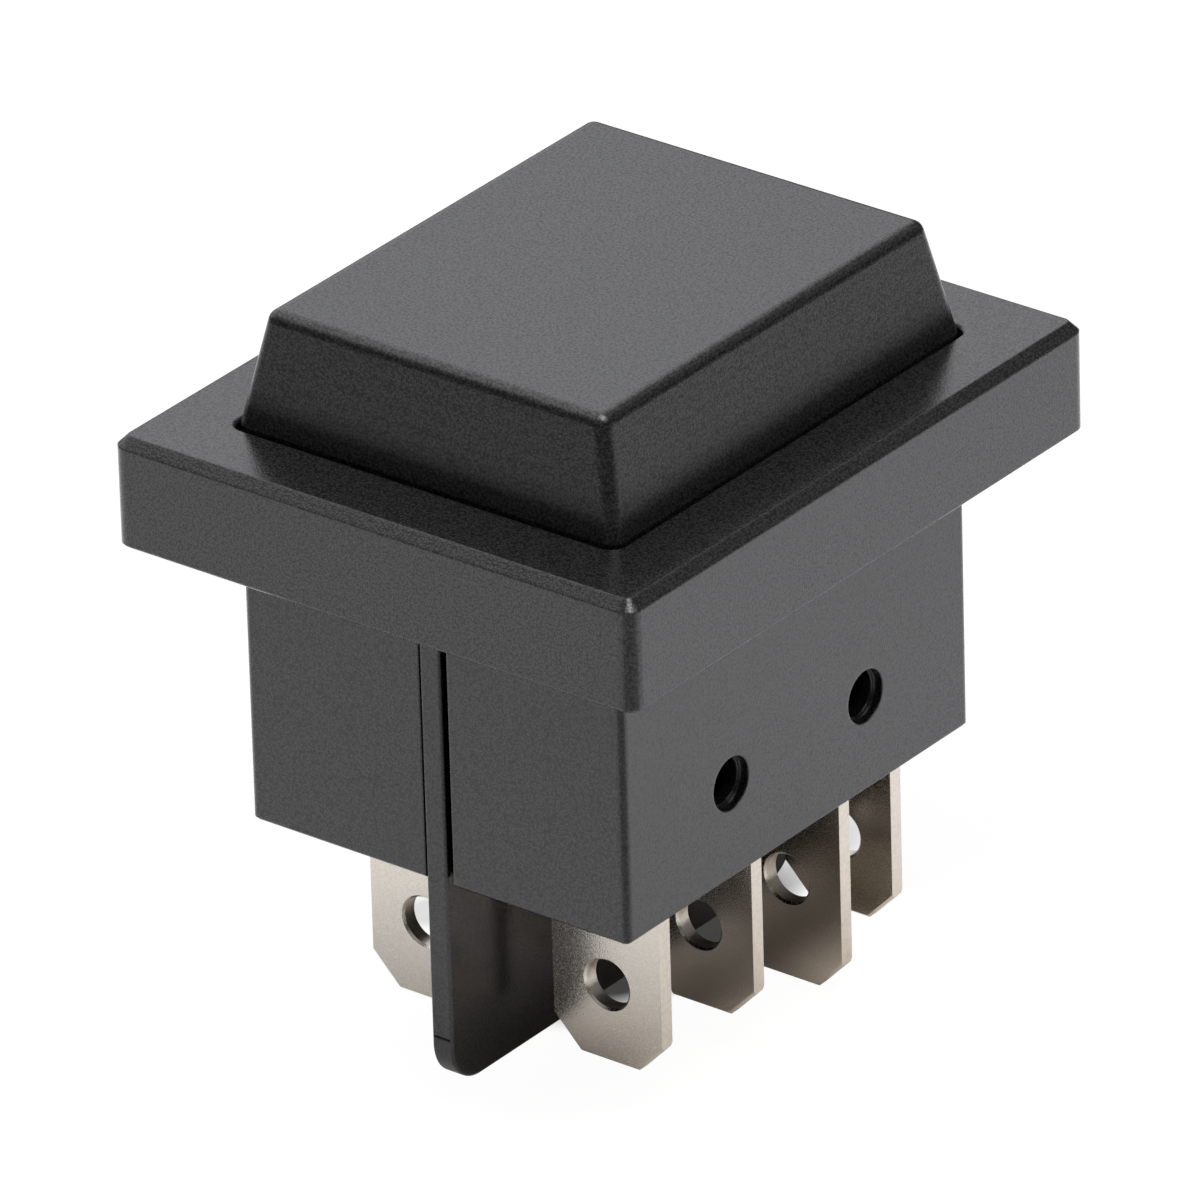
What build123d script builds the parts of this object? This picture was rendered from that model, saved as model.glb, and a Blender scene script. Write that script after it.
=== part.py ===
from build123d import *
from math import cos, radians, sin, tan
import os

# A two-pole panel rocker switch: a bezel with a rocking cap, a body that plugs on below it,
# and quick-connect tabs that stick out of the body's floor on both sides of a barrier plate.
#
# The frame: z = 0 is the face of the panel that the bezel sits on, +Z points out of the panel,
# Y runs along the way that the cap rocks, X runs along the cap's pivot, and the origin is
# in the middle of the panel cut-out. All sizes are in millimetres.

# Quick-connect tabs
tab_width = 6.3
tab_thickness = 0.8
tab_hole_radius = 1.25
tab_hole_above_tip = 4.05
tab_tip_chamfer_side = 1.45
tab_tip_chamfer_height = 1.5
tab_edge_bevel = 0.12
tab_hole_die_roll = 0.11
tab_length_below_body = 10.3
common_tab_extra = 0.25
long_tab_extra = 1.85
long_tab_hole_lower = 0.65
tab_slot_clearance = 0.05
tab_bend_flat = 0.05

# Rows of tabs along Y
common_row_y = -0.2
throw_row_y = -7.3
double_tab_near_y = 6.65
double_tab_far_y = 10.7

# Barrier plate between the poles
barrier_thickness = 1.2
barrier_gap_left = 0.03
barrier_gap_right = 0.42
barrier_offset_x = -0.1
barrier_drop = 25.88
barrier_tongue_top = 7.0
barrier_corner_radius = 2.1
barrier_edge_bevel = 0.1
barrier_seat_gap = 0.1
barrier_nick_width = 0.12
barrier_nick_depth = 0.1
barrier_nick_length = 0.95
barrier_nick_above_corner = 0.5

# Body below the panel
body_depth = 15.0
body_wall = 1.2
body_floor = 1.6
body_corner_radius = 0.4
body_foot_bevel = 0.15
body_seat_depth = 0.3
body_seat_clearance = 0.05
web_half_width = 1.95
web_to_tab_gap = 0.25
tab_to_wall_gap = 1.3
tab_to_end_wall_gap = 0.95
side_hole_radius = 1.35
side_hole_bore_radius = 1.15
side_hole_recess = 0.5
side_hole_y = 5.2
side_hole_drop = 10.05

# Bezel frame
bezel_overhang_x = 4.0
bezel_overhang_y = 4.25
bezel_height = 5.6
bezel_rim_x = 3.85
bezel_rim_y = 3.9
bezel_corner_radius = 0.8
bezel_top_chamfer = 0.5
bezel_foot_bevel = 0.12
opening_corner_radius = 0.8
opening_edge_bevel = 0.12
well_floor = 0.8
collar_depth = 3.0
collar_wall = 0.9
collar_clearance = 0.05
snap_ridge_length = 6.0
snap_ridge_height = 0.3
snap_ridge_drop = 1.8

# Rocker
rocker_side_gap = 0.18
rocker_end_gap = 0.28
rocker_top_inset_x = 1.25
rocker_top_inset_y = 0.98
rocker_rise = 5.8
rocker_edge_round = 0.65
skirt_corner_radius = 0.7
rocker_wall = 1.3
rocker_roof = 1.5
rocker_tilt = 9.0
rocker_stop_gap = 0.15
pivot_below_face = 2.2
trunnion_radius = 1.15
trunnion_length = 1.5
trunnion_lead_in = 0.35
trunnion_clearance = 0.05
trunnion_end_gap = 0.15
leg_radius = 2.8
leg_reach_below_panel = 5.2
leg_bore_clearance = 0.05
leg_rib_thickness = 1.0
leg_rib_bottom = 4.0

# Plunger and spring in each leg of the rocker
plunger_radius = 1.75
plunger_wall = 0.45
plunger_nose_radius = 0.6
plunger_cup_floor = 4.5
plunger_top_below_panel = 1.5
plunger_nose_gap = 0.1
spring_wire_radius = 0.2
spring_gap = 0.1
spring_turns = 3.5
spring_seat_above_panel = 3.0
spring_end_gap = 0.05

# Contacts and the bridge that tips between them
contact_radius = 1.3
contact_head_height = 0.7
contact_face_radius = 0.7
contact_bevel_height = 0.25
contact_reach = 8.8
contact_touch_gap = 0.06
bridge_thickness = 0.8
bridge_width = 4.2
bridge_end_margin = 1.6
bridge_tilt_ratio = 0.85
fulcrum_width = 4.4
fulcrum_bite = 0.35
fulcrum_clearance = 0.05
shoulder_wall_gap = 0.05
shoulder_height = 0.8
foot_end_margin = 1.6

# Places worked out from the sizes above
pole_x = web_half_width + web_to_tab_gap + tab_width / 2
body_width = 2 * (pole_x + tab_width / 2 + tab_to_wall_gap + body_wall)
body_length = 2 * (double_tab_far_y + tab_thickness / 2 + tab_to_end_wall_gap + body_wall)
bezel_width = body_width + 2 * bezel_overhang_x
bezel_length = body_length + 2 * bezel_overhang_y
opening_width = bezel_width - 2 * bezel_rim_x
opening_length = bezel_length - 2 * bezel_rim_y
rocker_width = opening_width - 2 * rocker_side_gap
rocker_length = opening_length - 2 * rocker_end_gap
pivot_z = bezel_height - pivot_below_face
rocker_top_z = bezel_height + rocker_rise
floor_z = body_floor - body_depth
web_top_z = -collar_depth - barrier_seat_gap
shoulder_width = tab_width + 2 * (web_to_tab_gap - shoulder_wall_gap)
bridge_tilt = bridge_tilt_ratio * rocker_tilt
fixed_contact_z = floor_z + tab_thickness + contact_head_height
contact_drop = (contact_reach + contact_face_radius) * sin(radians(bridge_tilt))
contact_gap = contact_drop + contact_touch_gap
bridge_z = fixed_contact_z + contact_gap + contact_head_height
fulcrum_z = bridge_z + fulcrum_bite - tab_thickness / 2
slot_left = barrier_offset_x - barrier_thickness / 2 - barrier_gap_left
slot_right = barrier_offset_x + barrier_thickness / 2 + barrier_gap_right

# An edge is picked when it lies this near to the plane asked for
pick_reach = 0.0001

SIDES = {"left": -1, "right": 1}
ENDS = {"front": -1, "rear": 1}


def block(x0, x1, y0, y1, z0, z1):
    """A box between two corners."""
    size = Box(x1 - x0, y1 - y0, z1 - z0)
    return Pos((x0 + x1) / 2, (y0 + y1) / 2, (z0 + z1) / 2) * size


def rounded_prism(width, length, radius, z0, z1):
    """An upright prism on a rounded rectangle, centred on the Z axis."""
    outline = Plane.XY.offset(z0) * RectangleRounded(width, length, radius)
    return extrude(outline, amount=z1 - z0)


def upright_cylinder(x, y, radius, z0, z1):
    return Pos(x, y, (z0 + z1) / 2) * Cylinder(radius, z1 - z0)


def cylinder_along_x(x0, x1, y, z, radius):
    return Pos((x0 + x1) / 2, y, z) * Rot(0, 90, 0) * Cylinder(radius, abs(x1 - x0))


def edges_at(part, axis, value):
    """The edges of a part that lie in the plane where this axis has this value."""
    return part.edges().filter_by_position(axis, value - pick_reach, value + pick_reach)


def bezel_frame():
    """The frame on the panel, with the well that the cap rocks in and the collar below it."""
    frame = rounded_prism(bezel_width, bezel_length, bezel_corner_radius, 0, bezel_height)
    frame = chamfer(edges_at(frame, Axis.Z, bezel_height), bezel_top_chamfer)
    frame = chamfer(edges_at(frame, Axis.Z, 0), bezel_foot_bevel)
    frame -= rounded_prism(
        body_width + 2 * body_seat_clearance, body_length + 2 * body_seat_clearance,
        body_corner_radius + body_seat_clearance, 0, body_seat_depth,
    )
    collar_width = body_width - 2 * (body_wall + collar_clearance)
    collar_length = body_length - 2 * (body_wall + collar_clearance)
    frame += rounded_prism(
        collar_width, collar_length, body_corner_radius, -collar_depth, body_seat_depth
    )
    for side in SIDES.values():
        frame += snap_ridge(side * collar_width / 2, snap_ridge_height, snap_ridge_length)
    frame -= rounded_prism(
        opening_width, opening_length, opening_corner_radius, well_floor, bezel_height
    )
    inner_x = collar_width / 2 - collar_wall
    inner_y = collar_length / 2 - collar_wall
    frame -= block(-inner_x, inner_x, -inner_y, inner_y, -collar_depth, well_floor)
    face = frame.faces().filter_by(Plane.XY).sort_by(Axis.Z)[-1]
    frame = chamfer(face.inner_wires()[0].edges(), opening_edge_bevel)
    socket_reach = rocker_width / 2 + trunnion_length + trunnion_end_gap
    frame -= cylinder_along_x(
        -socket_reach, socket_reach, 0, pivot_z, trunnion_radius + trunnion_clearance
    )
    return frame


def snap_ridge(x, height, length):
    """A roof-shaped ridge along Y on the collar, or the groove for it in the body's wall."""
    section = Plane.XZ * Pos(x, -snap_ridge_drop) * RegularPolygon(height, 4)
    return extrude(section, amount=length / 2, both=True)


def housing():
    """The body: a cup with a web down its middle, slots for the tabs and the barrier plate."""
    cup = rounded_prism(
        body_width, body_length, body_corner_radius, -body_depth, body_seat_depth
    )
    cup = chamfer(edges_at(cup, Axis.Z, -body_depth), body_foot_bevel)
    inner_x = body_width / 2 - body_wall
    inner_y = body_length / 2 - body_wall
    cup -= rounded_prism(
        2 * inner_x, 2 * inner_y, body_corner_radius, web_top_z, body_seat_depth
    )
    groove_height = snap_ridge_height + 2 * collar_clearance
    groove_length = snap_ridge_length + 2 * collar_clearance
    for side in SIDES.values():
        chamber_x = side * (web_half_width + inner_x) / 2
        chamber = Plane.XY.offset(floor_z) * Pos(chamber_x, 0)
        chamber *= Rectangle(inner_x - web_half_width, 2 * inner_y)
        cup -= extrude(chamber, amount=web_top_z - floor_z)
        cup -= snap_ridge(side * (inner_x - collar_clearance), groove_height, groove_length)
        for y in (throw_row_y, common_row_y, double_tab_near_y, double_tab_far_y):
            cup -= tab_slot(side * pole_x, y)
        for y in (-side_hole_y, side_hole_y):
            cup -= side_hole(side, y)
    return cup - barrier_slot()


def tab_slot(x, y):
    half_x = tab_width / 2 + tab_slot_clearance
    half_y = tab_thickness / 2 + tab_slot_clearance
    return block(x - half_x, x + half_x, y - half_y, y + half_y, -body_depth, floor_z)


def side_hole(side, y):
    """A stepped hole through the side wall, wider for a short way at the outside."""
    face = side * body_width / 2
    bore = cylinder_along_x(
        face - side * body_wall, face, y, -side_hole_drop, side_hole_bore_radius
    )
    recess = cylinder_along_x(
        face - side * side_hole_recess, face, y, -side_hole_drop, side_hole_radius
    )
    return bore + recess


def barrier_slot():
    """The slot in the floor and web, with a groove up each end wall for the plate's ears."""
    half = body_length / 2
    depth = body_wall + barrier_seat_gap
    top = barrier_seat_gap - barrier_tongue_top
    slot = block(slot_left, slot_right, -half, half, -body_depth, top)
    for y0, y1 in ((-half, depth - half), (half - depth, half)):
        slot += block(slot_left, slot_right, y0, y1, -body_depth, body_seat_depth)
    return slot


def barrier_plate():
    """The insulating plate between the poles, flush with both end walls of the body."""
    half = body_length / 2
    ear = body_wall - collar_clearance
    outline = Rectangle(body_length, barrier_drop, align=(Align.CENTER, Align.MAX))
    outline -= Rectangle(
        body_length - 2 * ear, barrier_tongue_top, align=(Align.CENTER, Align.MAX)
    )
    foot = outline.vertices().sort_by(Axis.Y)[:2]
    outline = fillet(foot, barrier_corner_radius)
    plate = extrude(Plane.YZ * outline, amount=barrier_thickness / 2, both=True)
    rim = plate.edges().filter_by(Axis.X, reverse=True)
    rim = rim.filter_by_position(Axis.Z, -barrier_drop, -body_depth)
    plate = chamfer(rim, barrier_edge_bevel)
    nick_z = barrier_corner_radius + barrier_nick_above_corner - barrier_drop
    nick = Pos(0, -half, nick_z) * Box(
        barrier_nick_length, 2 * barrier_nick_depth, barrier_nick_width
    )
    return Pos(barrier_offset_x, 0, 0) * (plate - nick)


def tab_outline(length, hole_lower):
    """The flat outline of a tab's blade, its tip down at y = -length.

    The holes of all tabs are level, but for one that is lower by the second size.
    """
    half = tab_width / 2
    tip_half = half - tab_tip_chamfer_side
    blade = Polygon(
        (-half, 0),
        (-half, tab_tip_chamfer_height - length),
        (-tip_half, -length),
        (tip_half, -length),
        (half, tab_tip_chamfer_height - length),
        (half, 0),
        align=None,
    )
    hole_y = tab_hole_above_tip - tab_length_below_body - hole_lower
    return blade - Pos(0, hole_y) * Circle(tab_hole_radius)


def blade(x, y, extra=0.0, hole_lower=0.0):
    """The part of a tab below the floor, from the floor's top face down to its tip.

    The punch has rolled in the rim of the hole on the side that it came from.
    """
    length = tab_length_below_body + extra
    front = Plane.XZ * tab_outline(length, hole_lower)
    flat = extrude(front, amount=tab_thickness / 2, both=True)
    rim = flat.edges().filter_by(Axis.Y, reverse=True)
    rim = rim.filter_by_position(Axis.Z, -length, tab_tip_chamfer_height / 2 - length)
    flat = chamfer(rim, tab_edge_bevel)
    punched_rim = flat.edges().filter_by(GeomType.CIRCLE).sort_by(Axis.Y)[0]
    flat = chamfer(punched_rim, tab_hole_die_roll)
    stem_half = tab_width / 2
    stem = block(
        -stem_half, stem_half, -tab_thickness / 2, tab_thickness / 2, 0, body_floor
    )
    return Pos(x, y, -body_depth) * (flat + stem)


def foot_strip(x, near_y, far_y):
    """A flat strip on the floor, bent down at the near end with a round outer corner."""
    half = tab_thickness / 2
    way = 1 if far_y > near_y else -1
    start = near_y - way * half
    strip = block(
        x - tab_width / 2, x + tab_width / 2,
        min(start, far_y), max(start, far_y),
        floor_z, floor_z + tab_thickness,
    )
    corner = edges_at(strip, Axis.Y, start).sort_by(Axis.Z)[-1]
    return fillet(corner, tab_thickness - tab_bend_flat)


def throw_tab(x):
    """One tab whose strip turns outwards over the floor to carry the front contact."""
    strip_end_y = common_row_y - contact_reach - foot_end_margin
    return blade(x, throw_row_y) + foot_strip(x, throw_row_y, strip_end_y)


def double_tab(x):
    """Two tabs on one bent strip, which carries the rear contact between them."""
    middle = (double_tab_near_y + double_tab_far_y) / 2
    strip = foot_strip(x, double_tab_near_y, middle) + foot_strip(x, double_tab_far_y, middle)
    tabs = blade(x, double_tab_near_y, long_tab_extra, long_tab_hole_lower)
    return tabs + blade(x, double_tab_far_y) + strip


def common_tab(x):
    """The middle tab, with shoulders on the floor and a round-edged post for the bridge."""
    half = tab_thickness / 2
    shoulders = block(
        x - shoulder_width / 2, x + shoulder_width / 2,
        common_row_y - half, common_row_y + half,
        floor_z, floor_z + shoulder_height,
    )
    post = block(
        x - fulcrum_width / 2, x + fulcrum_width / 2,
        common_row_y - half, common_row_y + half,
        floor_z, fulcrum_z,
    )
    edge = cylinder_along_x(x - fulcrum_width / 2, x + fulcrum_width / 2, common_row_y,
                            fulcrum_z, half)
    return blade(x, common_row_y, common_tab_extra) + shoulders + post + edge


def fixed_contact(x, y):
    """A flat contact button welded on top of a strip on the floor."""
    return upright_cylinder(x, y, contact_radius, floor_z + tab_thickness, fixed_contact_z)


def moving_contact(x, y):
    """A contact button under the bridge, bevelled so that its middle touches first."""
    face_z = bridge_z - contact_head_height
    button = upright_cylinder(x, y, contact_radius, face_z, bridge_z)
    rim = edges_at(button, Axis.Z, face_z)
    return chamfer(rim, contact_bevel_height, contact_radius - contact_face_radius)


def contact_bridge(x):
    """The strip that rocks on the common tab's post, round at both ends."""
    half_length = contact_reach + bridge_end_margin
    outline = Pos(x, common_row_y) * SlotOverall(2 * half_length, bridge_width, rotation=90)
    strip = extrude(Plane.XY.offset(bridge_z) * outline, amount=bridge_thickness)
    groove_radius = tab_thickness / 2 + fulcrum_clearance
    return strip - cylinder_along_x(
        x - bridge_width, x + bridge_width, common_row_y, fulcrum_z, groove_radius
    )


def rocker():
    """The cap with its skirt, the legs that hold the plungers, and the two trunnions."""
    cap = cap_shell()
    for side in SIDES.values():
        cap += rocker_leg(side * pole_x)
        cap += trunnion(side)
    return cap


def skirt_outline(half_length, top_z):
    """The cap seen along X below the panel face; its lower edges lie flat at full tilt."""
    slope = tan(radians(rocker_tilt))
    stop_z = well_floor + rocker_stop_gap
    middle_z = pivot_z - (pivot_z - stop_z) / cos(radians(rocker_tilt))
    end_z = middle_z + half_length * slope
    return Polygon(
        (0, middle_z),
        (half_length, end_z),
        (half_length, top_z),
        (-half_length, top_z),
        (-half_length, end_z),
        align=None,
    )


def cap_frustum(inset, roof):
    """The tapered part of the cap above the bezel's face, taken in by these sizes.

    It is where two long wedges cross, since its ends lean in less than its sides.
    """
    half_x = rocker_width / 2 - inset
    half_y = rocker_length / 2 - inset
    front = wedge_outline(half_x, rocker_top_inset_x, roof)
    side = wedge_outline(half_y, rocker_top_inset_y, roof)
    return (
        extrude(Plane.XZ * front, amount=half_y, both=True)
        & extrude(Plane.YZ * side, amount=half_x, both=True)
    )


def wedge_outline(half, top_inset, roof):
    """A trapezium on the bezel's face: the cap seen from one side, its top cut by the roof."""
    height = rocker_rise - roof
    top_half = half - top_inset * height / rocker_rise
    base_z = bezel_height
    return Polygon(
        (-half, base_z), (half, base_z), (top_half, base_z + height), (-top_half, base_z + height),
        align=None,
    )


def cap_shell():
    """A thin-walled cap with round edges, its skirt trimmed to rest on the well's floor."""
    outer = cap_frustum(0, 0)
    foot = outer.edges().group_by(Axis.Z)[0]
    outer = fillet(outer.edges() - foot, rocker_edge_round)
    outer += rounded_prism(
        rocker_width, rocker_length, skirt_corner_radius, well_floor, bezel_height
    )
    inner_x = rocker_width / 2 - rocker_wall
    inner_y = rocker_length / 2 - rocker_wall
    inner = block(-inner_x, inner_x, -inner_y, inner_y, well_floor, bezel_height)
    shell = outer - inner - cap_frustum(rocker_wall, rocker_roof)
    profile = Plane.YZ * skirt_outline(rocker_length / 2, rocker_top_z)
    return shell & extrude(profile, amount=rocker_width, both=True)


def rocker_leg(x):
    """A tube below the cap's roof, bored from below for a spring and plunger, with two ribs."""
    roof_z = rocker_top_z - rocker_roof / 2
    leg = upright_cylinder(x, 0, leg_radius, -leg_reach_below_panel, roof_z)
    rib_half = rocker_length / 2 - rocker_wall - rocker_top_inset_y
    half = leg_rib_thickness / 2
    leg += block(x - half, x + half, -rib_half, rib_half, leg_rib_bottom, roof_z)
    bore_radius = plunger_radius + leg_bore_clearance
    return leg - upright_cylinder(
        x, 0, bore_radius, -leg_reach_below_panel, spring_seat_above_panel
    )


def trunnion(side):
    """A short pin on the side of the cap, bevelled so that it snaps into the bezel."""
    root = rocker_width / 2 - rocker_wall / 2
    tip = rocker_width / 2 + trunnion_length
    pin = cylinder_along_x(side * root, side * tip, 0, pivot_z, trunnion_radius)
    return chamfer(edges_at(pin, Axis.X, side * tip), trunnion_lead_in)


def plunger(x):
    """A blunt-nosed cup that slides in the leg; the spring stands in it."""
    tip_z = bridge_z + bridge_thickness + plunger_nose_gap
    body = upright_cylinder(x, 0, plunger_radius, tip_z, -plunger_top_below_panel)
    body = chamfer(edges_at(body, Axis.Z, tip_z), plunger_radius - plunger_nose_radius)
    bore_radius = plunger_radius - plunger_wall
    return body - upright_cylinder(
        x, 0, bore_radius, -plunger_cup_floor, -plunger_top_below_panel
    )


def plunger_spring(x):
    """A coil of square wire from the bottom of the plunger's cup to the end of the bore."""
    coil_radius = plunger_radius - plunger_wall - spring_gap - spring_wire_radius
    bottom = -plunger_cup_floor + spring_end_gap + spring_wire_radius
    height = spring_seat_above_panel - spring_end_gap - spring_wire_radius - bottom
    path = Helix(pitch=height / spring_turns, height=height, radius=coil_radius)
    wire = Plane(origin=path @ 0, z_dir=path % 0) * RegularPolygon(spring_wire_radius, 4)
    return Pos(x, 0, bottom) * sweep(wire, path=path)


def write(name, part):
    part.label = name
    export_step(part, os.path.join("parts", name + ".step"))


def main():
    os.makedirs("parts", exist_ok=True)
    write("bezel_frame", bezel_frame())
    write("housing", housing())
    write("barrier_plate", barrier_plate())
    write("rocker", rocker())
    for side_name, side in SIDES.items():
        x = side * pole_x
        write("throw_tab_" + side_name, throw_tab(x))
        write("common_tab_" + side_name, common_tab(x))
        write("double_tab_" + side_name, double_tab(x))
        write("contact_bridge_" + side_name, contact_bridge(x))
        write("plunger_" + side_name, plunger(x))
        write("plunger_spring_" + side_name, plunger_spring(x))
        for end_name, end in ENDS.items():
            y = common_row_y + end * contact_reach
            place = end_name + "_" + side_name
            write("fixed_contact_" + place, fixed_contact(x, y))
            write("moving_contact_" + place, moving_contact(x, y))


main()
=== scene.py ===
# %% [markdown]
# A panel rocker switch, dressed for the camera.
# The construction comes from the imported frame: every rigid piece already has its true form
# there. This lesson gives each piece its finish, sets the studio around it and places the
# camera. Lengths are in metres, +Z points up, and the cap rocks about the X axis.

# %% Load the frame
import bmesh
import bpy
from math import cos, radians, sin
from mathutils import Matrix, Vector


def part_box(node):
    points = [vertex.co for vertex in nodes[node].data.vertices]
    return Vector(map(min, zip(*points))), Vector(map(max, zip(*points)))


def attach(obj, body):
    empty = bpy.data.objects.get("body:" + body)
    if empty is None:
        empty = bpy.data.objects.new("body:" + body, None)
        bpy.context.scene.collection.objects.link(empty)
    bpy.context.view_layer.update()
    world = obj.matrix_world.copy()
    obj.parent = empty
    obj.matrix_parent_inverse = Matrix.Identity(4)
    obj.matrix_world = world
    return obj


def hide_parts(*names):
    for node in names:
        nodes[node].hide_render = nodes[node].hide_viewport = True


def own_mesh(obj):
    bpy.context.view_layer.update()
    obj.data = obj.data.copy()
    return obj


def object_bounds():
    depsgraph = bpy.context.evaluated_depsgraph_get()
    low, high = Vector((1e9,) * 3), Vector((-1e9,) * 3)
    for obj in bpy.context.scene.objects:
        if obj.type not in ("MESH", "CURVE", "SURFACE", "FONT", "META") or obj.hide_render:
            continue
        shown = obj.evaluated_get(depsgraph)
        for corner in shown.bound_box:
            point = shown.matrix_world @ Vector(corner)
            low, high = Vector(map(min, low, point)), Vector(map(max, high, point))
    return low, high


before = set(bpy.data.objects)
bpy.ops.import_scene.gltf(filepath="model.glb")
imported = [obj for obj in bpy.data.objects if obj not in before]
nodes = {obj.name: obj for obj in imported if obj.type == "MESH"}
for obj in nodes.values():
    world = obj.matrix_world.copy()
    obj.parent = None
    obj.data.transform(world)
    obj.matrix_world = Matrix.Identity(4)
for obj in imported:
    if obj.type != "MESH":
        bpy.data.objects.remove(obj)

CAD_BOX = [[float(c) for c in corner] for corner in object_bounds()]
MM = 0.001
print("pieces in the frame:", len(nodes), "box:", CAD_BOX)

# %% [markdown]
# ## The camera
# A product photographer stands well back with a long lens, so that upright edges stay
# upright and the near corner isn't swollen. The angle, the small roll and the distance
# were solved once from straight edges; here they are plain numbers. The camera's axes are
# built by hand because a look-at constraint has no roll.

# %% The camera
VIEW_AZIMUTH = radians(38.05)
VIEW_ELEVATION = radians(27.52)
VIEW_ROLL = radians(-1.678)
VIEW_DISTANCE = 755.5 * MM
AIM_RIGHT = -0.172 * MM
AIM_UP = -5.324 * MM
SENSOR = 36.0
LENS = 489.4
CAMERA_REACH = 10.0


def camera_axes(azimuth, elevation, roll):
    """Right, up and backward unit vectors of a camera that looks at the origin."""
    back = Vector((
        sin(azimuth) * cos(elevation),
        -cos(azimuth) * cos(elevation),
        sin(elevation),
    ))
    level = (-back).cross(Vector((0, 0, 1))).normalized()
    above = level.cross(-back)
    right = level * cos(roll) + above * sin(roll)
    up = above * cos(roll) - level * sin(roll)
    return right, up, back


camera_data = bpy.data.cameras.new("camera")
camera_data.sensor_width = SENSOR
camera_data.lens = LENS
camera_data.clip_end = CAMERA_REACH
camera = bpy.data.objects.new("camera", camera_data)
bpy.context.scene.collection.objects.link(camera)
right, up, back = camera_axes(VIEW_AZIMUTH, VIEW_ELEVATION, VIEW_ROLL)
turn = Matrix((right, up, back)).transposed().to_4x4()
place = back * VIEW_DISTANCE + right * AIM_RIGHT + up * AIM_UP
camera.matrix_world = Matrix.Translation(place) @ turn
bpy.context.scene.camera = camera
print("camera at", [round(c, 4) for c in place])

# %% [markdown]
# ## Shader helpers
# Materials are built from nodes in code, so that each number has a name. Four small helpers
# keep the recipes below short: one adds a node with its settings, one makes a colour ramp,
# one makes a soft ellipse on the floor, and one multiplies two values.

# %% Shader helpers
def shader_node(tree, kind, inputs=None, **settings):
    """Adds a node, sets its properties by name and its unlinked inputs by socket name."""
    made = tree.nodes.new(kind)
    for key, value in settings.items():
        setattr(made, key, value)
    for key, value in (inputs or {}).items():
        made.inputs[key].default_value = value
    return made


def color_ramp(tree, *stops):
    """A colour ramp through stops of (position, colour), the lowest first."""
    made = shader_node(tree, "ShaderNodeValToRGB")
    elements = made.color_ramp.elements
    elements[0].position, elements[1].position = stops[0][0], stops[-1][0]
    for position, _ in stops[1:-1]:
        elements.new(position)
    for element, (_, color) in zip(elements, stops):
        element.color = tuple(color) + (1,)
    return made


def fade_from(tree, place, centre, reach, start, end, inside, outside=1.0):
    """A value that changes from inside to outside an ellipse on the floor; sizes in mm.

    The start and end of the change are shares of the ellipse's reach.
    """
    moved = shader_node(tree, "ShaderNodeMapping", {
        "Location": (-centre[0] / reach[0], -centre[1] / reach[1], 0),
        "Scale": (1 / (reach[0] * MM), 1 / (reach[1] * MM), 0),
    })
    away = shader_node(tree, "ShaderNodeVectorMath", operation="LENGTH")
    fade = shader_node(tree, "ShaderNodeMapRange", {
        "From Min": start, "From Max": end, "To Min": inside, "To Max": outside})
    tree.links.new(place, moved.inputs["Vector"])
    tree.links.new(moved.outputs["Vector"], away.inputs[0])
    tree.links.new(away.outputs["Value"], fade.inputs["Value"])
    return fade.outputs["Result"]


def product(tree, first, second):
    """The product of two sockets."""
    made = shader_node(tree, "ShaderNodeMath", operation="MULTIPLY")
    tree.links.new(first, made.inputs[0])
    tree.links.new(second, made.inputs[1])
    return made.outputs["Value"]


print("shader helpers ready")

# %% [markdown]
# ## The paper on the table
# Black plastic shows hardly any colour of its own: what the eye reads as its grey is the
# studio mirrored in its satin skin. The upright sides mirror the white paper on the table,
# so light and shade are painted into the paper's colour, where a photographer would tone
# it with cards laid out of sight. A painted pool of light makes the paper bright round the
# switch, and the paint falls off beyond it. Painted patches of shade stand for the cards: a
# grey one in front of the near corner draws the dark line down each upright edge, a small
# dark one behind the tabs takes away the light that the paper throws back between them, and
# a light grey one at the front left keeps the front darker than the long side. A painted
# warm light, the metal's own colour thrown back, tints the paper close to the tabs.

# %% The paper's tones
# Painted light: the paper's colour is bright in a pool round the switch and darker beyond it.
PAINTED_POOL_CENTRE = (16, 20)
PAINTED_POOL_START = 120
PAINTED_POOL_END = 290
PAINTED_POOL_ALBEDO = 0.92
PAINTED_FALLOFF_ALBEDO = 0.15
# Painted shade: grey patches in the paper's colour stand for cards laid out of sight.
PAINTED_SHADE_CARDS = (
    # centre and reach in mm along X and Y, and what is left of the paper's white
    ((56, -52), (48, 46), 0.45),
    ((-5, 21), (13, 12), 0.35),
    ((-36, -66), (55, 42), 0.88),
)
PAINTED_CARD_FADE = (0.8, 1.1)
# Painted light: a warm tint in the paper's colour near the tabs, for the light the metal throws
# back.
PAINTED_WARM_CENTRE = (3, 3)
PAINTED_WARM_REACH = (16, 18)
PAINTED_WARM_FADE = (0.4, 1.2)
PAINTED_WARM_BOUNCE = (1.06, 0.965, 0.88)


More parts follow.
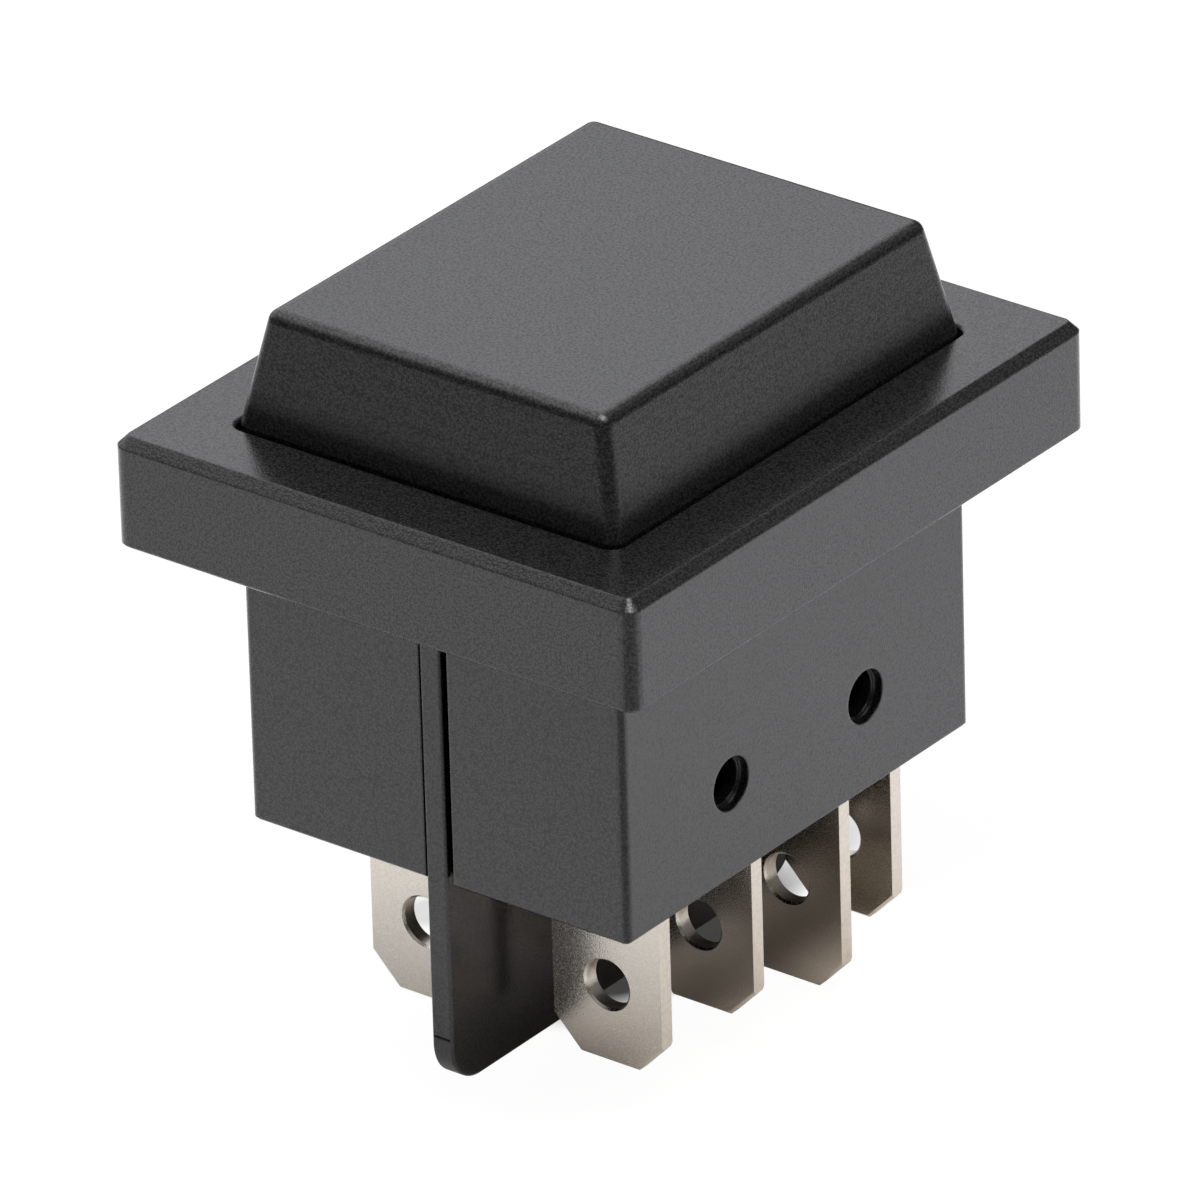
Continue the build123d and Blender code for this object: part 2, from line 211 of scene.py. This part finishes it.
def painted_paper_light(tree, place):
    """The colour of the lit paper with light and shade painted in: a painted pool of light,
    painted shade for the cards and a painted warm bounce near the tabs.
    """
    painted_light_and_shade = fade_from(tree, place, PAINTED_POOL_CENTRE, (1, 1), PAINTED_POOL_START, PAINTED_POOL_END,
                     PAINTED_POOL_ALBEDO, PAINTED_FALLOFF_ALBEDO)
    for centre, reach, left in PAINTED_SHADE_CARDS:
        painted_light_and_shade = product(tree, painted_light_and_shade, fade_from(tree, place, centre, reach, *PAINTED_CARD_FADE, left))
    painted_warmth = shader_node(tree, "ShaderNodeMix", {"A": (1, 1, 1), "B": PAINTED_WARM_BOUNCE},
                       data_type="VECTOR")
    near = fade_from(tree, place, PAINTED_WARM_CENTRE, PAINTED_WARM_REACH, *PAINTED_WARM_FADE, 1.0, 0.0)
    tree.links.new(near, painted_warmth.inputs["Factor"])
    paint = shader_node(tree, "ShaderNodeVectorMath", operation="SCALE")
    tree.links.new(painted_warmth.outputs["Result"], paint.inputs["Vector"])
    tree.links.new(painted_light_and_shade, paint.inputs["Scale"])
    return paint.outputs["Vector"]


print("cards on the paper:", len(PAINTED_SHADE_CARDS))

# %% [markdown]
# ### What the camera sees of the paper
# To the camera most of the paper glows at a plain white, and the rest is lit, which keeps
# a faint shadow where the object meets it. Three small shades dim the spots that the camera
# sees through the holes of the tabs, because real paper lies in the body's shadow there.

# %% The paper's glow
FLOOR_GLOW_SHARE = 0.92
FLOOR_GLOW = 1.045
PAPER_ROUGHNESS = 0.9
SHADES = (
    # centre and reach in mm along X and Y, and what is left of the glow
    ((-1.2, 5.6), (2.6, 7.2), 0.045),
    ((-12.4, 1.8), (1.3, 1.3), 0.72),
    ((-1.4, 15.6), (2.0, 5.2), 0.7),
)
SHADE_FADE = (0.8, 1.4)


def paper_glow(tree, place):
    """The glow that only the camera sees, dimmed by the small shades."""
    glow = shader_node(tree, "ShaderNodeEmission", {"Color": (1, 1, 1, 1)})
    strength = shader_node(tree, "ShaderNodeValue").outputs["Value"]
    strength.default_value = FLOOR_GLOW
    for centre, reach, left in SHADES:
        shade = fade_from(tree, place, centre, reach, *SHADE_FADE, left)
        strength = product(tree, shade, strength)
    tree.links.new(strength, glow.inputs["Strength"])
    return glow.outputs["Emission"]


def floor_material():
    """White paper that glows for the camera and keeps a faint shadow of the object."""
    made = bpy.data.materials.new("studio_floor")
    made.use_nodes = True
    tree = made.node_tree
    place = shader_node(tree, "ShaderNodeTexCoord").outputs["Object"]
    lit = tree.nodes["Principled BSDF"]
    lit.inputs["Roughness"].default_value = PAPER_ROUGHNESS
    lit.inputs["Specular IOR Level"].default_value = 0.0
    tree.links.new(painted_paper_light(tree, place), lit.inputs["Base Color"])
    share = shader_node(tree, "ShaderNodeMath", {1: FLOOR_GLOW_SHARE}, operation="MULTIPLY")
    rays = shader_node(tree, "ShaderNodeLightPath")
    tree.links.new(rays.outputs["Is Camera Ray"], share.inputs[0])
    paper = shader_node(tree, "ShaderNodeMixShader")
    tree.links.new(share.outputs["Value"], paper.inputs["Fac"])
    tree.links.new(lit.outputs["BSDF"], paper.inputs[1])
    tree.links.new(paper_glow(tree, place), paper.inputs[2])
    tree.links.new(paper.outputs["Shader"], tree.nodes["Material Output"].inputs["Surface"])
    return made


PAPER = floor_material()
print("paper made, with", len(SHADES), "shades")

# %% Lay the paper
FLOOR_GAP = 0.02 * MM
FLOOR_SIZE = 640 * MM
FLOOR_Z = CAD_BOX[0][2] - FLOOR_GAP
floor_mesh = bpy.data.meshes.new("floor")
shape = bmesh.new()
bmesh.ops.create_grid(shape, x_segments=1, y_segments=1, size=FLOOR_SIZE / 2)
bmesh.ops.translate(shape, verts=shape.verts, vec=(0, 0, FLOOR_Z))
shape.to_mesh(floor_mesh)
shape.free()
floor = bpy.data.objects.new("floor", floor_mesh)
bpy.context.scene.collection.objects.link(floor)
floor.data.materials.append(PAPER)
print("floor at z =", round(FLOOR_Z, 5))

# %% [markdown]
# ## The lamps
# Two soft boxes light the switch. The big one at the back left is what the flat tops
# mirror, so its even face gives them their even grey, and it has to be wide enough to fill
# the whole top. The small one, high on the right, lights the paper that the long side
# mirrors and sets a spark on the cap's near corner.

# %% Lamps
LAMP_COLOR = (0.965, 0.968, 1.0)
LAMPS = (
    # name, azimuth and elevation in degrees, distance and size in metres, power in watts
    ("soft_box", 251, 45, 0.6, 1.02, 3.82),
    ("top_lamp", 85, 75, 0.6, 0.4, 3.9),
)


def soft_lamp(name, azimuth, elevation, distance, size, watts):
    """A square soft box that faces the origin."""
    lamp_data = bpy.data.lights.new(name, "AREA")
    lamp_data.shape = "SQUARE"
    lamp_data.size = size
    lamp_data.energy = watts
    lamp_data.color = LAMP_COLOR
    lamp = bpy.data.objects.new(name, lamp_data)
    bpy.context.scene.collection.objects.link(lamp)
    side, top, away = camera_axes(radians(azimuth), radians(elevation), 0.0)
    turn = Matrix((side, top, away)).transposed().to_4x4()
    lamp.matrix_world = Matrix.Translation(away * distance) @ turn


for lamp_values in LAMPS:
    soft_lamp(*lamp_values)
print("lamps lit:", len(LAMPS))

# %% [markdown]
# ### The room
# The room is a dim grey that only mirrors see, darkest at the height of the horizon, where
# it draws the dark edges of the cap. The camera sees plain white instead. The Standard view
# shows each grey as it is written.

# %% The room
ROOM_BELOW = 0.38
ROOM_HORIZON = 0.11
ROOM_ABOVE = 0.42
ROOM_LEVELS = (
    # 0 is straight down, 0.5 the horizon and 1 straight up
    (0.42, (ROOM_BELOW,) * 3),
    (0.5, (ROOM_HORIZON,) * 3),
    (0.62, (ROOM_HORIZON,) * 3),
    (0.85, (ROOM_ABOVE,) * 3),
)
world = bpy.data.worlds.new("studio")
bpy.context.scene.world = world
world.use_nodes = True
tree = world.node_tree
way = shader_node(tree, "ShaderNodeSeparateXYZ")
tree.links.new(shader_node(tree, "ShaderNodeTexCoord").outputs["Generated"], way.inputs["Vector"])
height = shader_node(tree, "ShaderNodeMapRange", {"From Min": -1.0, "From Max": 1.0})
tree.links.new(way.outputs["Z"], height.inputs["Value"])
walls = color_ramp(tree, *ROOM_LEVELS)
tree.links.new(height.outputs["Result"], walls.inputs["Fac"])
room = tree.nodes["Background"]
tree.links.new(walls.outputs["Color"], room.inputs["Color"])
seen = shader_node(tree, "ShaderNodeBackground", {"Color": (1, 1, 1, 1), "Strength": 1.0})
rays = shader_node(tree, "ShaderNodeLightPath")
swap = shader_node(tree, "ShaderNodeMixShader")
tree.links.new(rays.outputs["Is Camera Ray"], swap.inputs["Fac"])
tree.links.new(room.outputs["Background"], swap.inputs[1])
tree.links.new(seen.outputs["Background"], swap.inputs[2])
tree.links.new(swap.outputs["Shader"], tree.nodes["World Output"].inputs["Surface"])
bpy.context.scene.view_settings.view_transform = "Standard"
print("room has", len(ROOM_LEVELS), "levels of grey")

# %% [markdown]
# ## Moulded plastic
# The cap, bezel, body and barrier plate are black moulded plastic. The steel of the mould
# was spark eroded, which leaves a fine pebbled skin. Round cells give the pebbles and a
# fine noise breaks them up. One height then drives three things: the bump, painted shade in
# the colour, darker in the valleys between the pebbles and lighter on their tops, and a
# stronger shine on the tops, because the valleys between the pebbles shade each other, which
# is painted too. The base colour stays very dark.
# A moulded edge is never sharp. A bevel in the shading rounds each edge by a sixth of a
# millimetre and draws the fine light line at the bezel's foot and along its chamfer, which
# costs no faces and leaves the exact solid as it is.

# %% Moulded plastic
PLASTIC_IOR = 1.55
MOULDED_EDGE = 0.16 * MM
EDGE_SAMPLES = 4
PEBBLE_DISORDER = 0.8
PEBBLE_RELIEF = (-0.35, 0.45)
PEBBLE_RAMP = (0.25, 0.85)
GLOSS_SPREAD = 0.05
MEAN_SHINE = 0.5
BLACK_VALLEY_SHADING = (0.3, 2.0)
WHITE_VALLEY_SHADING = (0.9, 1.08)


def moulded_plastic(name, shade, gloss, grain, depth, contrast, tint=(1.0, 1.0, 1.02),
                    valley_shading=BLACK_VALLEY_SHADING):
    """Plastic: shade is its grey, gloss its roughness, grain and depth the pebbles in mm.

    The contrast is how much more a pebble's top shines than the valleys round it, a painted
    shade in the valleys, and valley_shading gives the painted shade of a valley and the lighter
    colour of a pebble's top, as shares of the plastic's own grey.
    """
    made = bpy.data.materials.new(name)
    made.use_nodes = True
    tree = made.node_tree
    skin = tree.nodes["Principled BSDF"]
    skin.inputs["IOR"].default_value = PLASTIC_IOR
    place = shader_node(tree, "ShaderNodeTexCoord").outputs["Object"]
    pebbles = shader_node(tree, "ShaderNodeTexVoronoi",
                          {"Scale": 1 / (grain * MM), "Randomness": PEBBLE_DISORDER})
    fine = shader_node(tree, "ShaderNodeTexNoise",
                       {"Scale": 2 / (grain * MM), "Detail": 1.0, "Roughness": 0.5})
    for texture in (pebbles, fine):
        tree.links.new(place, texture.inputs["Vector"])
    satin = shader_node(tree, "ShaderNodeMapRange", {
        "To Min": gloss - GLOSS_SPREAD, "To Max": gloss + GLOSS_SPREAD})
    tree.links.new(fine.outputs["Fac"], satin.inputs["Value"])
    tree.links.new(satin.outputs["Result"], skin.inputs["Roughness"])
    relief = shader_node(tree, "ShaderNodeMath", operation="SUBTRACT")
    tree.links.new(fine.outputs["Fac"], relief.inputs[0])
    tree.links.new(pebbles.outputs["Distance"], relief.inputs[1])
    height = shader_node(tree, "ShaderNodeMapRange", {
        "From Min": PEBBLE_RELIEF[0], "From Max": PEBBLE_RELIEF[1]})
    tree.links.new(relief.outputs["Value"], height.inputs["Value"])
    # Painted shade: the colour is darker in the valleys between the pebbles and lighter on their
    # tops.
    valley_shaded_gray = color_ramp(tree, *[
        (position, [shade * share * t for t in tint])
        for position, share in zip(PEBBLE_RAMP, valley_shading)])
    tree.links.new(height.outputs["Result"], valley_shaded_gray.inputs["Fac"])
    tree.links.new(valley_shaded_gray.outputs["Color"], skin.inputs["Base Color"])
    # Painted shade in the shine: it is weaker in the valleys between the pebbles.
    shine = shader_node(tree, "ShaderNodeMapRange", {
        "To Min": MEAN_SHINE * (1 - contrast), "To Max": MEAN_SHINE * (1 + contrast)})
    tree.links.new(height.outputs["Result"], shine.inputs["Value"])
    tree.links.new(shine.outputs["Result"], skin.inputs["Specular IOR Level"])
    bump = shader_node(tree, "ShaderNodeBump", {"Strength": 1.0, "Distance": depth * MM})
    edges = shader_node(tree, "ShaderNodeBevel", {"Radius": MOULDED_EDGE},
                        samples=EDGE_SAMPLES)
    tree.links.new(height.outputs["Result"], bump.inputs["Height"])
    tree.links.new(edges.outputs["Normal"], bump.inputs["Normal"])
    tree.links.new(bump.outputs["Normal"], skin.inputs["Normal"])
    return made


print("recipe for moulded plastic ready")

# %% [markdown]
# ### The four blacks and one white
# The cap gets the dullest skin with the strongest pebbles, for the finger. The bezel and the
# body are smoother, and the barrier plate is a separate moulding of plain black. The plungers
# are the same recipe in natural white, because bare plastic slides best, with only a little
# painted shade in the valleys, so that their pebbles look nearly even.

# %% The plastics
CAP_PLASTIC = moulded_plastic("cap_plastic", 0.007, 0.29, 0.14, 0.003, 0.36)
BEZEL_PLASTIC = moulded_plastic("bezel_plastic", 0.0085, 0.22, 0.13, 0.003, 0.28)
BODY_PLASTIC = moulded_plastic("body_plastic", 0.008, 0.24, 0.13, 0.003, 0.21)
BARRIER_PLASTIC = moulded_plastic("barrier_plastic", 0.003, 0.24, 0.13, 0.003, 0.25)
PLUNGER_PLASTIC = moulded_plastic("plunger_plastic", 0.7, 0.35, 0.2, 0.003, 0.1,
                                  (1.0, 0.98, 0.93), WHITE_VALLEY_SHADING)
print("plastics made: cap, bezel, body, barrier and plunger")

# %% [markdown]
# ## Plated tabs
# The tabs are stamped from brass strip and plated with matt tin. The punch leaves the faces
# flat and the plating gives them a fine speckle, while the sheared edges and the walls of
# the holes are torn, so they are duller and mottled. The true normal tells the two apart:
# every blade stands square to Y, so a face that looks along Y is a flat one, and below the
# limit for the normal's Y part a face counts as torn. Metal shows nothing but mirrored
# light, so the speckle mostly changes how rough the mirror is.

# %% Plated tabs
SHEARED_DULLNESS = 0.2
FACE_LIMIT = 0.4
MOTTLE_SHARE = 0.3
SPECKLE_RANGE = (0.3, 0.7)
PLATING_RAMP = (0.35, 0.6)
PLATING_SHADES = (0.84, 1.0)
POLISH = 0.06
DULLING = 0.12


def plated_metal(name, color, gloss, grain, depth):
    """Metal with a fine speckled plating; its sheared edges are rougher and mottled."""
    made = bpy.data.materials.new(name)
    made.use_nodes = True
    tree = made.node_tree
    skin = tree.nodes["Principled BSDF"]
    skin.inputs["Metallic"].default_value = 1.0
    place = shader_node(tree, "ShaderNodeTexCoord").outputs["Object"]
    speckle = shader_node(tree, "ShaderNodeTexNoise",
                          {"Scale": 1 / (grain * MM), "Detail": 1.0, "Roughness": 0.5})
    mottle = shader_node(tree, "ShaderNodeTexNoise",
                         {"Scale": MOTTLE_SHARE / (grain * MM), "Detail": 3.0,
                          "Roughness": 0.6})
    for texture in (speckle, mottle):
        tree.links.new(place, texture.inputs["Vector"])
    facing = shader_node(tree, "ShaderNodeSeparateXYZ")
    tree.links.new(shader_node(tree, "ShaderNodeNewGeometry").outputs["True Normal"],
                   facing.inputs["Vector"])
    flat = shader_node(tree, "ShaderNodeMath", operation="ABSOLUTE")
    tree.links.new(facing.outputs["Y"], flat.inputs[0])
    sheared = shader_node(tree, "ShaderNodeMath", {1: FACE_LIMIT}, operation="LESS_THAN")
    tree.links.new(flat.outputs["Value"], sheared.inputs[0])
    pattern = shader_node(tree, "ShaderNodeMix")
    tree.links.new(sheared.outputs["Value"], pattern.inputs["Factor"])
    tree.links.new(speckle.outputs["Fac"], pattern.inputs["A"])
    tree.links.new(mottle.outputs["Fac"], pattern.inputs["B"])
    tone = color_ramp(tree, *[
        (position, [share * c for c in color])
        for position, share in zip(PLATING_RAMP, PLATING_SHADES)])
    tree.links.new(pattern.outputs["Result"], tone.inputs["Fac"])
    tree.links.new(tone.outputs["Color"], skin.inputs["Base Color"])
    satin = shader_node(tree, "ShaderNodeMapRange", {
        "From Min": SPECKLE_RANGE[0], "From Max": SPECKLE_RANGE[1],
        "To Min": gloss - POLISH, "To Max": gloss + DULLING})
    tree.links.new(pattern.outputs["Result"], satin.inputs["Value"])
    torn = shader_node(tree, "ShaderNodeMath", {1: SHEARED_DULLNESS}, operation="MULTIPLY_ADD")
    tree.links.new(sheared.outputs["Value"], torn.inputs[0])
    tree.links.new(satin.outputs["Result"], torn.inputs[2])
    tree.links.new(torn.outputs["Value"], skin.inputs["Roughness"])
    bump = shader_node(tree, "ShaderNodeBump", {"Strength": 1.0, "Distance": depth * MM})
    tree.links.new(pattern.outputs["Result"], bump.inputs["Height"])
    tree.links.new(bump.outputs["Normal"], skin.inputs["Normal"])
    return made


print("recipe for plated metal ready")

# %% [markdown]
# ### The metals
# The tabs wear the tin. The bare brass bridges, the silver contacts and the steel springs
# are the same recipe with other numbers: their colour, their gloss, and the size and depth
# of their speckle.

# %% The metals
TAB_PLATING = plated_metal("tab_plating", (0.66, 0.61, 0.54), 0.18, 0.06, 0.0045)
BRIDGE_BRASS = plated_metal("bridge_brass", (0.72, 0.52, 0.25), 0.3, 0.2, 0.004)
CONTACT_SILVER = plated_metal("contact_silver", (0.82, 0.81, 0.79), 0.22, 0.15, 0.003)
SPRING_STEEL = plated_metal("spring_steel", (0.55, 0.55, 0.56), 0.28, 0.1, 0.002)
print("metals made: tab, bridge, contact and spring")

# %% [markdown]
# ## Dressing the pieces
# Each piece gets one finish by the start of its name, so that the left and right pole, and
# the front and rear contacts, can't drift apart. The longest start wins, which keeps
# plunger_spring from being taken for a plunger. The solids stay exactly as packed.

# %% Dressing the pieces
FINISHES = {
    "rocker": CAP_PLASTIC,
    "bezel_frame": BEZEL_PLASTIC,
    "housing": BODY_PLASTIC,
    "barrier_plate": BARRIER_PLASTIC,
    "throw_tab": TAB_PLATING,
    "common_tab": TAB_PLATING,
    "double_tab": TAB_PLATING,
    "contact_bridge": BRIDGE_BRASS,
    "fixed_contact": CONTACT_SILVER,
    "moving_contact": CONTACT_SILVER,
    "plunger_spring": SPRING_STEEL,
    "plunger": PLUNGER_PLASTIC,
}


def finish_for(name):
    """The finish whose key is the longest start of the node's name."""
    keys = [key for key in FINISHES if name.startswith(key)]
    return FINISHES[max(keys, key=len)]


for name, piece in nodes.items():
    piece.data.materials.clear()
    piece.data.materials.append(finish_for(name))
print("finishes given to", len(nodes), "pieces")

# %% [markdown]
# ## Springs on the cap
# A coil spring stands in each plunger's cup and presses the plunger out. The imported springs
# are stiff, so a plunger that slides in would run into its spring. A copy of each spring
# stands in for the imported one and rides on the cap. The copy's loose triangles are merged
# first, so that the round wire shades smoothly.

# %% Springs on the cap
MERGE_DISTANCE = 0.001 * MM


def giving_spring(side):
    """A smooth-shaded copy of one imported spring, carried by the cap."""
    packed = "plunger_spring_" + side
    low, high = (Vector(corner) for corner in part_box(packed))
    coil = nodes[packed].data.copy()
    shape = bmesh.new()
    shape.from_mesh(coil)
    bmesh.ops.remove_doubles(shape, verts=shape.verts, dist=MERGE_DISTANCE)
    for face in shape.faces:
        face.smooth = True
    shape.to_mesh(coil)
    shape.free()
    spring = bpy.data.objects.new("giving_spring_" + side, coil)
    bpy.context.scene.collection.objects.link(spring)
    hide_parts(packed)
    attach(spring, "rocker")
    length = high.z - low.z
    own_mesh(spring)
    return length


for side in ("left", "right"):
    print("spring", side, "is", round(giving_spring(side) / MM, 2), "mm long")
